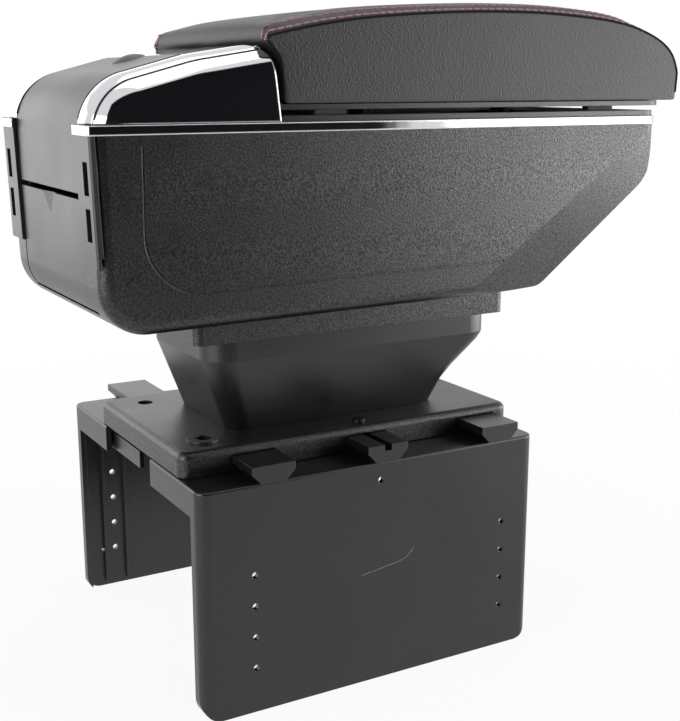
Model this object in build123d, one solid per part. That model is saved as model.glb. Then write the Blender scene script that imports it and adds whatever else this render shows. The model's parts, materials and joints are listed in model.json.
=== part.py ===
from build123d import *
import os
from math import cos, radians, sin, tan

# Car centre armrest that straddles the floor console between two front seats.
# Millimetres. +X is the front of the car, +Z is up, the box is symmetric about Y = 0.
# The origin is on the floor, under the middle of the base.

# Clearances
slide_clearance = 0.35
seat_gap = 0.3
pin_clearance = 0.05
screw_clearance = 0.05

# Base: two side plates that slide in and out of a cover
base_length = 190.0
skirt_height = 114.0
skirt_wall = 3.0
skirt_rim_depth = 10.0
skirt_corner_radius = 10.0
skirt_edge_radius = 6.0
skirt_top_radius = 1.2
flange_rim_depth = 13.5
right_flange_reach = 60.0
left_flange_reach = 56.0
tongue_reach = 96.0
tongue_depth = 9.0
tongue_wall = 2.5
tongue_lap = 8.0
right_pull = 21.5
left_pull = 45.5
right_rail_x = (-57.0, 5.0, 72.5)
left_rail_x = (-63.0, 5.0, 72.5)
rail_foot_width = 13.5
rail_top_width = 22.5
rail_height = 8.3
rail_land = 3.6
rail_length = 56.5
rail_groove_width = 4.0
rail_groove_depth = 3.0
rail_groove_length = 54.5
right_hole_x = (-67.5, 75.0)
left_hole_x = (-75.0, 67.5)
hole_radius = 1.6
top_hole_z = 69.8
hole_pitch = 15.66
holes_per_row = 4
rib_width = 1.6
rib_height = 2.5
rib_from_holes = 6.5
moulding_hole_x = 1.0
moulding_hole_z = 105.0
vent_hole_x = -82.7
vent_hole_z = 22.4
vent_hole_radius = 1.0

# Base cover
cover_end_inset = 1.0
cover_length = base_length - 2 * cover_end_inset
cover_width = 114.0
cover_height = 12.1
cover_wall = 3.0
cover_corner_radius = 6.0
cover_edge_radius = 3.5
cover_hole_x = -75.0
cover_hole_y = 39.0
cover_hole_radius = 4.0
ring_radius = 8.0
ring_height = 1.0
stop_screw_y = 50.0

# Pedestal
pedestal_foot_width = 68.5
pedestal_top_width = 82.0
pedestal_foot_rear_x = -58.0
pedestal_top_rear_x = -71.0
pedestal_foot_radius = 10.0
pedestal_top_radius = 14.0
pedestal_height = 47.0
pedestal_band = 10.5

# Pedestal's hollowed front from its foot to its band: share of the height, place of the front face
pedestal_front_shape = ((0.0, 62.0),
                        (0.16, 65.4),
                        (0.34, 69.4),
                        (0.54, 76.4),
                        (0.74, 85.0),
                        (0.88, 90.8),
                        (0.96, 93.0),
                        (1.0, 93.5))
pedestal_wall = 3.0
cover_bottom_z = skirt_height + slide_clearance
cover_top_z = cover_bottom_z + cover_height
pedestal_top_z = cover_top_z + pedestal_height
column_radius = 4.5
column_x = (-40.0, 36.0)
column_y = 17.0

# Screws
screw_radius = 1.6
screw_head_radius = 3.2
screw_head_height = 2.2
screw_length = 16.0

# Storage box
boss_height = 11.75
box_height = 91.0
box_rear_bottom_z = pedestal_top_z + boss_height
box_front_bottom_z = box_rear_bottom_z + 3.1
box_top_z = box_rear_bottom_z + box_height
box_length = 313.5
box_rear_x = -132.8
box_top_width = 136.6
box_floor_width = box_top_width - 4.6
box_rear_lean = 2.4
slope_foot_x = 111.0
slope_angle = 38.0
rear_bottom_radius = 22.0
slope_foot_radius = 12.0
slope_top_radius = 16.0
side_edge_radius = 6.0
front_corner_radius = 10.0
facet_high_x = 172.5
facet_high_z = box_top_z - 8.2
facet_low_x = 92.4
facet_low_z = box_top_z - 63.5
facet_inner_x = 139.0
facet_inner_z = box_top_z - 60.2
facet_inner_half_width = box_top_width / 2 - 8.3
box_wall = 2.6
line_rear_x = -111.3
line_front_x = 84.0
line_above_floor = 16.4
line_high_z = box_top_z - 6.0
line_radius = 27.0
line_width = 1.1
line_depth = 0.45
boss_length = 178.0
boss_x = 9.0
boss_width = 90.0
boss_radius = 4.0
boss_pocket_length = 146.0
boss_pocket_width = 68.0
boss_floor = 4.0

# Two slotted pillars that stand a little proud of the rear panels
pillar_bottom_z = box_top_z - 59.5
pillar_stand = 1.4
pillar_depth = 1.7
pillar_corner_radius = 1.6
groove_width = 1.8
pillar_width = 19.6
opening_half_width = box_top_width / 2 - pillar_width
pillar_lip_half_width = opening_half_width - 1.7
pillar_web_thickness = 4.6
rear_cut_half_width = box_top_width / 2 - 6.3
pillar_back_x = -125.2
pillar_back_thickness = 2.4
pillar_slot_y = box_top_width / 2 - 7.8
pillar_slot_width = 6.2
pillar_slot_height = 14.0
pillar_slot_z = (box_top_z - 22.2, box_top_z - 41.7)

# Chrome-plated hump behind the lid
hump_rear_x = -132.8
hump_front_x = -49.9
hump_front_z = box_top_z + 34.4
hump_front_slope = 9.0
hump_slope = 15.0
hump_bend_x = -84.2
hump_bend_radius = 70.0
hump_radius = 27.0
hump_foot_x = -45.8
hump_front_radius = 9.0
hump_wall = 2.2
cheek_width = 7.2
cheek_gap = 0.6
cheek_half_width = box_top_width / 2
strip_half_width = cheek_half_width - cheek_width - cheek_gap
cheek_edge_radius = 16.5
cheek_hollow_inset = 12.5
hump_overrun = 40.0
hump_root = 10.0
cross_bar_x = hump_bend_x

# Trim band and upper rim
band_bottom_z = box_top_z - 4.4
band_height = 4.1
band_thickness = 0.65
band_stand_off = 0.05
rim_height = 2.6
rim_width = 6.0
rim_inset = 0.6
rim_rear_x = -44.8

# Rear flap, its bin and its pins
panel_inset = 0.2
panel_proud = 0.2
flap_bottom_z = box_top_z - 29.6
flap_half_width = opening_half_width - 0.7
flap_thickness = 2.4
flap_axis_x = -129.2
flap_axis_z = flap_bottom_z + 2.4
flap_lug_radius = 2.8
flap_sweep_radius = 4.5
flap_cheek_thickness = 2.0
flap_cheek_y = pillar_lip_half_width - 0.4 - flap_cheek_thickness
flap_cheek_reach = 62.0
flap_pin_radius = 1.4
flap_pin_length = 8.0
pull_radius = 8.5
pull_height = 2.2
pull_inset = 6.5
bin_wall = 1.6
bin_front_top_z = box_top_z + 1.8
bin_back_top_z = box_top_z + 7.8
bin_back_x = -75.0

# Cup drawer
drawer_top_z = flap_bottom_z - 2.6
drawer_bottom_z = box_rear_bottom_z + 9.7
drawer_face_thickness = 2.5
drawer_half_width = opening_half_width - 0.7
drawer_slot_room = 0.5
drawer_foot_room = 1.5
drawer_tray_half_width = pillar_lip_half_width - 0.8
drawer_floor_z = box_rear_bottom_z + 18.3
drawer_tray_top_z = drawer_floor_z + 22.7
drawer_tail_x = -33.0
drawer_wall = 2.0
cup_radius = 33.0
cup_x = -93.0
scoop_half_width = 13.0
scoop_height = 10.5
scoop_depth = 2.0
guide_wall = 2.2
guide_lip = 4.0
partition_wall = 2.5
partition_x = -30.5
deck_z = drawer_tray_top_z + 4.3
upper_partition_x = -58.5

# Lid plate and hinge
hinge_x = -53.4
hinge_z = hump_front_z - 3.5
knuckle_radius = 1.8
hinge_pin_radius = 0.9
hinge_half_width = strip_half_width - 0.5
lid_knuckle_from = 10.4
lid_knuckle_to = hinge_half_width - 14.4
knuckle_gap = 0.4
hinge_groove_room = 0.5
lid_plate_z = box_top_z + rim_height + 2.5
lid_plate_thickness = 2.5
lid_plate_half_width = box_top_width / 2 - 2.3
lid_front_x = 186.5
lid_front_radius = 12.0
upstand_thickness = 2.2
upstand_gap = 0.8
upstand_half_width = hinge_half_width - 2.0
upstand_top_z = hinge_z - 3.9
arm_room = 0.7
slide_travel = 60.0
slide_screw_x = (10.0, 95.0)
slide_screw_y = 40.0
shoulder_radius = 2.4
slide_head_radius = 5.0
slide_head_height = 2.4
bumper_length = 16.0
bumper_width = 5.0
bumper_x = (-20.0, 140.0)
bumper_y = box_top_width / 2 - 4.3

# Cushion
board_thickness = 3.0
pad_half_width = box_top_width / 2 - 1.3
board_half_width = pad_half_width - 5.5
board_rear_x = -38.0
board_front_x = 180.0
board_front_radius = 15.0
pad_side_height = 42.2
pad_crown = 9.0
pad_front_x = 197.5
pad_rear_x = -53.6

# Cushion's rear edge, which clears the hump as the lid turns: forward of and above the hinge's axis
pad_lip = (0.9, 4.9)
pad_knee = (2.6, 2.9)
pad_neck_drop = 3.1

# Cushion top from rear to front: share of the length, share of the side height, share of the crown
pad_top_shape = ((0.0048, 0.7559, 0.5),
                 (0.1661, 0.8791, 0.9),
                 (0.3744, 0.9882, 1.0),
                 (0.6041, 1.0, 1.0),
                 (0.826, 0.8934, 0.85),
                 (0.955, 0.6659, 0.45),
                 (1.0, 0.3104, 0.1),
                 (0.9968, 0.0, 0.0))

# Derived heights and places
column_places = [(x, side * column_y) for x in column_x for side in (-1, 1)]
box_front_x = box_rear_x + box_length
pad_bottom_z = lid_plate_z + lid_plate_thickness + seat_gap
board_z = pad_bottom_z
hump_bend_z = hump_front_z - (hump_front_x - hump_bend_x) * tan(radians(hump_front_slope))
flap_axis = Pos(flap_axis_x, 0, flap_axis_z)
hinge_axis = Pos(hinge_x, 0, hinge_z)
far = 400.0


def block(x_from, x_to, y_from, y_to, z_from, z_to):
    """Rectangular block between two corners."""
    middle = Pos((x_from + x_to) / 2, (y_from + y_to) / 2, (z_from + z_to) / 2)
    return middle * Box(x_to - x_from, y_to - y_from, z_to - z_from)


def both_sides(piece):
    """The piece together with its mirror image across the middle plane."""
    return piece + mirror(piece, about=Plane.XZ)


def side_face(*points):
    """Face in the X-Z plane through the given (x, z) points."""
    return make_face(Polyline(*points, close=True))


def across(face, y_from, y_to):
    """A face of the X-Z plane made solid between two Y places."""
    depth = y_to - y_from
    return Pos(0, y_from, 0) * extrude(Plane.XZ * face, -depth)


def bar_along_y(x, z, radius, y_from, y_to):
    """Round bar parallel to Y."""
    return Pos(x, (y_from + y_to) / 2, z) * Rot(90, 0, 0) * Cylinder(radius, y_to - y_from)


def corner(face, x, z, radius):
    """Round the corner of a face that lies nearest to (x, z)."""
    nearest = face.vertices().sort_by_distance((x, z, 0))[0]
    return fillet(nearest, radius)


def dovetail(centre, room, y_from, y_to, z_top):
    """Rail section that widens to a straight land at its top, with room all round it."""
    lean = (rail_top_width - rail_foot_width) / 2 / (rail_height - rail_land)
    foot = rail_foot_width / 2 + room - lean * slide_clearance
    foot_z = skirt_height - slide_clearance
    top = rail_top_width / 2 + room
    knee_z = foot_z + (top - foot) / lean
    section = side_face((centre - foot, foot_z), (centre + foot, foot_z), (centre + top, knee_z),
                        (centre + top, z_top), (centre - top, z_top), (centre - top, knee_z))
    return across(section, y_from, y_to)


def pan_screw(x, y, z_seat, length, up):
    """Pan-head screw with its head's seat at z_seat and its shank going up or down."""
    way = 1 if up else -1
    head = Pos(x, y, z_seat - way * screw_head_height / 2) * Cylinder(screw_head_radius, screw_head_height)
    outer_face = head.faces().sort_by(Axis.Z)[0 if up else -1]
    head = fillet(outer_face.edges(), screw_head_height / 3)
    shank = Pos(x, y, z_seat + way * length / 2) * Cylinder(screw_radius, length)
    return head + shank


def make_skirt(reach, rail_x, hole_x):
    """Side plate with its outer face at Y = 0 and its flange pointing to +Y."""
    half = base_length / 2
    outline = Pos(0, skirt_height / 2) * Rectangle(base_length, skirt_height)
    outline = corner(outline, -half, 0, skirt_corner_radius)
    outline = corner(outline, half, 0, skirt_corner_radius)
    plan = Pos(0, reach / 2) * Rectangle(base_length, reach)
    plan = fillet(plan.vertices().group_by(Axis.Y)[0], skirt_edge_radius)
    plate = across(outline, 0, reach) & extrude(plan, skirt_height)
    top_edges = plate.faces().sort_by(Axis.Z)[-1].edges()
    plate = fillet([edge for edge in top_edges if edge.center().Y < skirt_edge_radius], skirt_top_radius)
    inner = half - skirt_wall
    plate -= block(-inner, inner, skirt_wall, reach + 1, -1, skirt_height - skirt_wall)
    plate -= block(-half - 1, half + 1, skirt_rim_depth, reach + 1, -1, skirt_height - flange_rim_depth)
    for x in rail_x:
        plate += dovetail(x, 0, 0, rail_length, skirt_height + rail_height)
    groove_floor = skirt_height + rail_height - rail_groove_depth
    groove_half = rail_groove_width / 2
    plate -= block(rail_x[1] - groove_half, rail_x[1] + groove_half, -1, rail_groove_length,
                   groove_floor, groove_floor + 2 * rail_groove_depth)
    for x in hole_x:
        for side in (-1, 1):
            rib_x = x + side * rib_from_holes
            plate += block(rib_x - rib_width / 2, rib_x + rib_width / 2, skirt_wall - 0.5,
                           skirt_wall + rib_height, skirt_wall, skirt_height - skirt_wall + 0.5)
        for count in range(holes_per_row):
            z = top_hole_z - count * hole_pitch
            plate -= bar_along_y(x, z, hole_radius, -1, skirt_wall + 1)
    plate -= bar_along_y(moulding_hole_x, moulding_hole_z, hole_radius, -1, skirt_wall + 1)
    return plate


def make_right_side_plate():
    plate = make_skirt(right_flange_reach, right_rail_x, right_hole_x)
    return Pos(0, -cover_width / 2 - right_pull, 0) * plate


def make_left_side_plate():
    plate = make_skirt(left_flange_reach, left_rail_x, left_hole_x)
    half = base_length / 2 - skirt_wall - 1.0
    tongue_top = skirt_height - skirt_wall - 0.5
    start = left_flange_reach - tongue_lap
    tongue = block(-half, half, start, tongue_reach, tongue_top - tongue_depth, tongue_top)
    tongue -= block(-half + tongue_wall, half - tongue_wall, start - 1, tongue_reach + 1,
                    tongue_top - tongue_depth - 1, tongue_top - tongue_wall)
    step = block(-half, half, start, left_flange_reach, tongue_top - tongue_wall, skirt_height - 1)
    plate += tongue + step
    plate -= bar_along_y(vent_hole_x, vent_hole_z, vent_hole_radius, -1, skirt_wall + 1)
    return Pos(0, cover_width / 2 + left_pull, 0) * mirror(plate, about=Plane.XZ)


def make_base_cover():
    half_width = cover_width / 2
    plan = RectangleRounded(cover_length, cover_width, cover_corner_radius)
    cover = Pos(0, 0, cover_bottom_z) * extrude(plan, cover_height)
    cover = fillet(cover.faces().sort_by(Axis.Z)[-1].edges(), cover_edge_radius)
    inner_plan = RectangleRounded(cover_length - 2 * cover_wall, cover_width - 2 * cover_wall,
                                  cover_corner_radius - cover_wall)
    cover -= Pos(0, 0, cover_bottom_z - 1) * extrude(inner_plan, cover_height - cover_wall + 1)
    slot_top = skirt_height + rail_height + slide_clearance
    for x in right_rail_x:
        cover -= dovetail(x, slide_clearance, -half_width - 1, -half_width + cover_wall + 1, slot_top)
    for x in left_rail_x:
        cover -= dovetail(x, slide_clearance, half_width - cover_wall - 1, half_width + 1, slot_top)
    cover += Pos(cover_hole_x, -cover_hole_y, cover_top_z + ring_height / 2) * Cylinder(ring_radius, ring_height)
    for side in (-1, 1):
        cover -= Pos(cover_hole_x, side * cover_hole_y, cover_top_z) * Cylinder(cover_hole_radius, 4 * cover_wall)
        cover -= Pos(right_rail_x[1], side * stop_screw_y, cover_top_z) * Cylinder(
            screw_radius + screw_clearance, 4 * cover_wall)
    for x, y in column_places:
        cover -= Pos(x, y, cover_top_z) * Cylinder(screw_radius + screw_clearance, 4 * cover_wall)
    return cover


def make_width_stop_screws():
    length = cover_wall + rail_groove_depth - 1.0
    return [pan_screw(right_rail_x[1], side * stop_screw_y, cover_top_z, length, up=False) for side in (-1, 1)]


def pedestal_form(inset):
    """Tapered bucket with a hollowed front and a straight band at its top, inset on all sides."""
    band_z = pedestal_top_z - pedestal_band
    sections = []
    for share, front_x in pedestal_front_shape:
        rear_x = pedestal_foot_rear_x + (pedestal_top_rear_x - pedestal_foot_rear_x) * share
        width = pedestal_foot_width + (pedestal_top_width - pedestal_foot_width) * share
        radius = pedestal_foot_radius + (pedestal_top_radius - pedestal_foot_radius) * share
        plan = RectangleRounded(front_x - rear_x - 2 * inset, width - 2 * inset, radius - inset)
        sections.append(Pos((rear_x + front_x) / 2, 0, cover_top_z + (band_z - cover_top_z) * share) * plan)
    return loft(sections, ruled=True) + extrude(sections[-1], pedestal_band)


def make_pedestal():
    bucket = pedestal_form(0)
    hollow = pedestal_form(pedestal_wall)
    bucket -= hollow - block(-far, far, -far, far, 0, cover_top_z + pedestal_wall)
    for x, y in column_places:
        bucket += Pos(x, y, (cover_top_z + pedestal_top_z) / 2) * Cylinder(column_radius, pedestal_height)
    for x, y in column_places:
        bucket -= Pos(x, y, (cover_top_z + pedestal_top_z) / 2) * Cylinder(
            screw_radius + screw_clearance, pedestal_height + 2)
    return bucket


def make_pedestal_lower_screws():
    seat = cover_top_z - cover_wall
    return [pan_screw(x, y, seat, screw_length, up=True) for x, y in column_places]


def box_floor_z(x):
    """Height of the box's underside, which rises a little towards the front."""
    run = slope_foot_x - box_rear_x
    return box_rear_bottom_z + (box_front_bottom_z - box_rear_bottom_z) * (x - box_rear_x) / run


def rounded_sides(inset, top_z):
    """Space between the box's leaning sides, rounded along their rear edges and their feet, inset all round."""
    rear_lean = box_rear_lean / box_height
    front_x = 2 * box_front_x
    profile = side_face((box_rear_x - rear_lean * (top_z + inset - box_top_z), top_z + inset),
                        (box_rear_x + box_rear_lean, box_rear_bottom_z),
                        (front_x, box_floor_z(front_x)), (front_x, top_z + inset))
    profile = corner(profile, box_rear_x + box_rear_lean, box_rear_bottom_z, rear_bottom_radius)
    if inset > 0:
        profile = offset(profile, -inset)
    low_z = box_rear_bottom_z - 5
    top_half = side_half_width(top_z) - inset
    low_half = side_half_width(low_z) - inset
    section = make_face(Polyline((-top_half, top_z), (-low_half, low_z), (low_half, low_z), (top_half, top_z),
                                 close=True))
    space = across(profile, -far, far) & extrude(Plane.YZ * section, far, both=True)
    faces = space.faces().sort_by(Axis.Y)
    edges = [edge for face in (faces[0], faces[-1]) for edge in face.edges()]
    edges = [edge for edge in edges if edge.center().Z < top_z - 0.5 and edge.center().X < front_x - inset - 1]
    return fillet(edges, side_edge_radius - inset)


def box_form(inset, top_z):
    """Closed outer form of the storage box, inset on all sides and cut level at top_z."""
    slope_rise = top_z + inset - box_front_bottom_z
    slope_front = slope_foot_x + slope_rise / tan(radians(slope_angle))
    rear_x = box_rear_x - 20
    profile = side_face((rear_x, top_z + inset), (rear_x, box_floor_z(rear_x)),
                        (slope_foot_x, box_front_bottom_z), (slope_front, top_z + inset))
    profile -= Pos(box_front_x + far / 2, top_z) * Rectangle(far, far)
    slope_top_z = box_front_bottom_z + (box_front_x - slope_foot_x) * tan(radians(slope_angle))
    profile = corner(profile, slope_foot_x, box_front_bottom_z, slope_foot_radius)
    profile = corner(profile, box_front_x, slope_top_z, slope_top_radius)
    if inset > 0:
        profile = offset(profile, -inset)
    plan = Pos((box_rear_x - 20 + box_front_x - inset) / 2, 0) * Rectangle(
        box_length + 20 - inset, box_top_width - 2 * inset)
    plan = fillet(plan.vertices().group_by(Axis.X)[-1], front_corner_radius - inset)
    form = rounded_sides(inset, top_z) & across(profile, -far, far) & extrude(plan, far)
    return form - both_sides(front_facet(inset))


def side_half_width(z):
    """Half the box's width at height z, between its leaning sides."""
    lean = (box_top_width - box_floor_width) / 2 / box_height
    return box_top_width / 2 - lean * (box_top_z - z)


def front_facet(inset):
    """Block outside the slanting side facet that runs along the sloped underside."""
    high = Vector(facet_high_x, -side_half_width(facet_high_z), facet_high_z)
    low = Vector(facet_low_x, -side_half_width(facet_low_z), facet_low_z)
    inner = Vector(facet_inner_x, -facet_inner_half_width, facet_inner_z)
    normal = (high - low).cross(inner - low).normalized()
    if normal.Y > 0:
        normal = normal * -1
    face = Plane(origin=low - normal * inset, x_dir=high - low, z_dir=normal)
    return face * Pos(0, 0, far / 2) * Box(2 * far, 2 * far, far)


def rear_x(z):
    """Place of the box's leaning rear face at height z."""
    return box_rear_x + box_rear_lean * (box_top_z - z) / (box_top_z - box_rear_bottom_z)


def rear_slab(offset_from, offset_to, half_width, z_from, z_to):
    """Slab parallel to the box's rear face, between two distances from it."""
    section = side_face((rear_x(z_from) + offset_from, z_from), (rear_x(z_from) + offset_to, z_from),
                        (rear_x(z_to) + offset_to, z_to), (rear_x(z_to) + offset_from, z_to))
    return across(section, -half_width, half_width)


def side_line():
    """Thin moulded line that runs down the rear of each side and along its foot."""
    foot_z = box_floor_z(line_rear_x) + line_above_floor
    front_z = box_floor_z(line_front_x) + line_above_floor
    area = side_face((line_rear_x, line_high_z), (line_rear_x, foot_z), (line_front_x, front_z), (line_front_x, line_high_z))
    area = corner(area, line_rear_x, foot_z, line_radius)
    ring = area - offset(area, -line_width)
    ring -= Pos(line_front_x, line_high_z) * Rectangle(6 * line_width, far)
    ring -= Pos(0, line_high_z) * Rectangle(far, 6 * line_width)
    return across(ring, -far, far) & (box_form(0, box_top_z) - box_form(line_depth, box_top_z + box_wall))


def make_storage_box():
    outer = box_form(0, box_top_z)
    box = outer - box_form(box_wall, box_top_z + box_wall)
    box -= side_line()
    inside = box_form(box_wall - 0.3, box_top_z)
    walls = block(partition_x, partition_x + partition_wall, -far, far, 0, deck_z + partition_wall)
    walls += block(upper_partition_x, partition_x + partition_wall, -far, far, deck_z, deck_z + partition_wall)
    walls += block(upper_partition_x, upper_partition_x + partition_wall, -far, far, deck_z, box_top_z)
    guide_y = drawer_tray_half_width + slide_clearance
    guide_rear_x = pillar_back_x + seat_gap
    guide = block(guide_rear_x, partition_x + 1, guide_y, guide_y + guide_wall, 0, deck_z)
    lip_z = drawer_tray_top_z + slide_clearance
    guide += block(guide_rear_x, partition_x + 1, guide_y - guide_lip, guide_y + 1, lip_z, lip_z + guide_wall)
    ledge_z = drawer_floor_z - slide_clearance
    guide += block(guide_rear_x, partition_x + 1, guide_y - guide_lip, guide_y + 1, ledge_z - guide_wall, ledge_z)
    walls += both_sides(guide)
    box += walls & inside
    boss = Pos(boss_x, 0, pedestal_top_z) * extrude(
        RectangleRounded(boss_length, boss_width, boss_radius), box_floor_z(boss_x) + 1 - pedestal_top_z)
    pocket_top = box_floor_z(boss_x) + box_wall - boss_floor
    pocket = Pos(boss_x, 0, pedestal_top_z - 1) * extrude(
        RectangleRounded(boss_pocket_length, boss_pocket_width, boss_radius), pocket_top - pedestal_top_z + 1)
    box += boss
    box -= pocket
    for x, y in column_places:
        height = pocket_top + 1 - pedestal_top_z
        box += Pos(x, y, pedestal_top_z + height / 2) * Cylinder(column_radius + 1, height)
    for x, y in column_places:
        box -= Pos(x, y, pedestal_top_z) * Cylinder(screw_radius + screw_clearance, pedestal_height)
    cut_z = pillar_bottom_z - seat_gap
    box -= rear_slab(-rear_bottom_radius, pillar_depth - pillar_stand + groove_width, far, cut_z, far)
    box -= block(-far, pillar_back_x + seat_gap, -rear_cut_half_width, rear_cut_half_width, cut_z, far)
    slot_half = drawer_half_width + drawer_slot_room
    box -= block(-far, pillar_back_x + 6, -slot_half, slot_half, drawer_bottom_z - drawer_foot_room, far)
    return box


def make_pedestal_upper_screws():
    screws = []
    for x, y in column_places:
        seat = box_floor_z(x) + box_wall + 0.05
        screws.append(pan_screw(x, y, seat, seat - pedestal_top_z + 10, up=False))
    return screws


def make_pillar(side):
    """Slotted rear pillar with the web that holds the flap's pin."""
    inside = box_form(box_wall + seat_gap, box_top_z)
    proud = pillar_depth - pillar_stand
    strip = rear_slab(-pillar_stand, proud, box_top_width / 2, pillar_bottom_z, box_top_z)
    strip -= block(-far, far, -opening_half_width, opening_half_width, 0, far)
    outer_edges = strip.edges().filter_by_position(Axis.Y, box_top_width / 2 - 1, far)
    rear_edge = outer_edges.sort_by(Axis.X)[0]
    right_edge = strip.edges().filter_by_position(Axis.Y, -far, 1 - box_top_width / 2).sort_by(Axis.X)[0]
    strip = fillet([rear_edge, right_edge], pillar_corner_radius)
    web_to = opening_half_width + pillar_web_thickness
    web = block(box_rear_x + 1, pillar_back_x, opening_half_width, web_to, pillar_bottom_z, box_top_z)
    back = block(pillar_back_x - pillar_back_thickness, pillar_back_x, pillar_lip_half_width, far,
                 pillar_bottom_z, box_top_z)
    pillar = strip + both_sides((web + back) & inside)
    pillar += both_sides(web) & rear_slab(0, 10, far, pillar_bottom_z, box_top_z)
    pillar -= bar_along_y(flap_axis_x, flap_axis_z, flap_sweep_radius, -opening_half_width, opening_half_width)
    for z in pillar_slot_z:
        pillar -= both_sides(Pos(rear_x(z) - 2, pillar_slot_y, z) * Box(10, pillar_slot_width, pillar_slot_height))
    hole = bar_along_y(flap_axis_x, flap_axis_z, flap_pin_radius + pin_clearance, 0, opening_half_width + flap_pin_length)
    pillar -= both_sides(hole)
    return pillar & block(-far, far, min(0, side * far), max(0, side * far), 0, far)


def hump_line_z(x):
    """Height at x of the hump's top behind its bend, where it slopes more."""
    return hump_bend_z - (hump_bend_x - x) * tan(radians(hump_slope))


def hump_profile(inset):
    """Side view of the hump, from the box's top edge to its sloping top."""
    low_z = box_top_z - hump_root
    lean = (hump_foot_x - hump_front_x) / (hump_front_z - box_top_z)
    face = side_face((hump_rear_x, low_z), (hump_rear_x, hump_line_z(hump_rear_x)),
                     (hump_bend_x, hump_bend_z), (hump_front_x, hump_front_z),
                     (hump_foot_x + hump_root * lean, low_z))
    face = corner(face, hump_rear_x, hump_line_z(hump_rear_x), hump_radius)
    face = corner(face, hump_bend_x, hump_bend_z, hump_bend_radius)
    face = corner(face, hump_front_x, hump_front_z, hump_front_radius)
    if inset > 0:
        return offset(face, -inset)
    return face - Pos(0, box_top_z - far / 2) * Rectangle(2 * far, far)


def fixed_knuckles():
    """Knuckles moulded on the hump: one in the middle and one at each end."""
    middle = lid_knuckle_from - knuckle_gap
    end = bar_along_y(hinge_x, hinge_z, knuckle_radius, lid_knuckle_to + knuckle_gap, hinge_half_width)
    return bar_along_y(hinge_x, hinge_z, knuckle_radius, -middle, middle) + both_sides(end)


def hump_form(inset):
    """Form of the whole hump less an inset, with a broad round along its two top edges and a crisp front edge."""
    front_x = hump_front_x + hump_overrun
    front_z = hump_front_z + hump_overrun * tan(radians(hump_front_slope))
    low_z = box_top_z - hump_root
    face = side_face((hump_rear_x, low_z), (hump_rear_x, hump_line_z(hump_rear_x)), (hump_bend_x, hump_bend_z),
                     (front_x, front_z), (front_x, low_z))
    face = corner(face, hump_rear_x, hump_line_z(hump_rear_x), hump_radius)
    face = corner(face, hump_bend_x, hump_bend_z, hump_bend_radius)
    if inset > 0:
        face = offset(face, -inset)
    form = across(face, inset - cheek_half_width, cheek_half_width - inset)
    sides = form.faces().sort_by(Axis.Y)
    edges = [edge for side in (sides[0], sides[-1]) for edge in side.edges()]
    edges = [edge for edge in edges if edge.center().Z > low_z + inset + 1 and edge.center().X < front_x - inset - 1]
    return fillet(edges, cheek_edge_radius - inset) & across(hump_profile(inset), -far, far)


def make_rear_hump():
    outer = hump_form(0) & block(-far, far, -strip_half_width, strip_half_width, 0, far)
    hump = outer - hump_form(hump_wall)
    web = across(hump_profile(hump_wall / 2), opening_half_width, opening_half_width + hump_wall)
    hump += both_sides(web) & outer
    corner_bar = block(hinge_x - 8, hinge_x + 8, -far, far, hinge_z - 7, far)
    hump += outer & corner_bar
    hump -= block(-far, cross_bar_x, -opening_half_width, opening_half_width, 0, far)
    knuckle_from = lid_knuckle_from - knuckle_gap
    knuckle_to = lid_knuckle_to + knuckle_gap
    groove = bar_along_y(hinge_x, hinge_z, knuckle_radius + hinge_groove_room, knuckle_from, knuckle_to)
    groove += block(hinge_x, far, knuckle_from, knuckle_to, upstand_top_z - arm_room, far)
    hump += fixed_knuckles()
    hump -= both_sides(groove)
    hump -= bar_along_y(hinge_x, hinge_z, hinge_pin_radius + pin_clearance, -far, far)
    return hump


def make_cheek(side):
    """Plated side cover of the hump, with a broad round along its top edge."""
    inner_y = strip_half_width + cheek_gap
    cheek = hump_form(0) & block(-far, far, inner_y, far, 0, far)
    cheek -= across(hump_profile(cheek_hollow_inset), inner_y - 1, cheek_half_width - hump_wall)
    return cheek if side > 0 else mirror(cheek, about=Plane.XZ)


def box_plan(grow):
    """Plan outline of the box's upper edge with its pillars, grown on all sides."""
    from_x = box_rear_x - pillar_stand - grow
    to_x = box_front_x + grow
    plan = Pos((from_x + to_x) / 2, 0) * Rectangle(to_x - from_x, box_top_width + 2 * grow)
    plan = fillet(plan.vertices().group_by(Axis.X)[0], pillar_corner_radius + max(grow, 0))
    return fillet(plan.vertices().group_by(Axis.X)[-1], front_corner_radius + grow)


def make_trim_band():
    band = box_plan(band_stand_off + band_thickness) - box_plan(band_stand_off)
    band = Pos(0, 0, band_bottom_z) * extrude(band, band_height)
    return band - block(-far, 0, -opening_half_width, opening_half_width, 0, far)


def make_upper_rim():
    ring = box_plan(-rim_inset) - box_plan(-rim_inset - rim_width)
    rim = Pos(0, 0, box_top_z) * extrude(ring, rim_height)
    return rim - block(-far, rim_rear_x, -far, far, 0, far)


def flap_region(inset):
    """Area behind the flap's face, under its curved top."""
    foot_x = rear_x(flap_bottom_z) + panel_inset + inset
    face_x = rear_x(box_top_z) + panel_inset + inset
    drop = inset / cos(radians(hump_slope))
    end_x = cross_bar_x - slide_clearance if inset == 0 else 0
    rise = panel_proud - drop
    face = side_face((foot_x, flap_bottom_z - inset), (face_x, hump_line_z(face_x) + rise),
                     (end_x, hump_line_z(end_x) + rise), (end_x, flap_bottom_z - inset))
    return corner(face, face_x, hump_line_z(face_x) + rise, hump_radius - inset)


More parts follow.
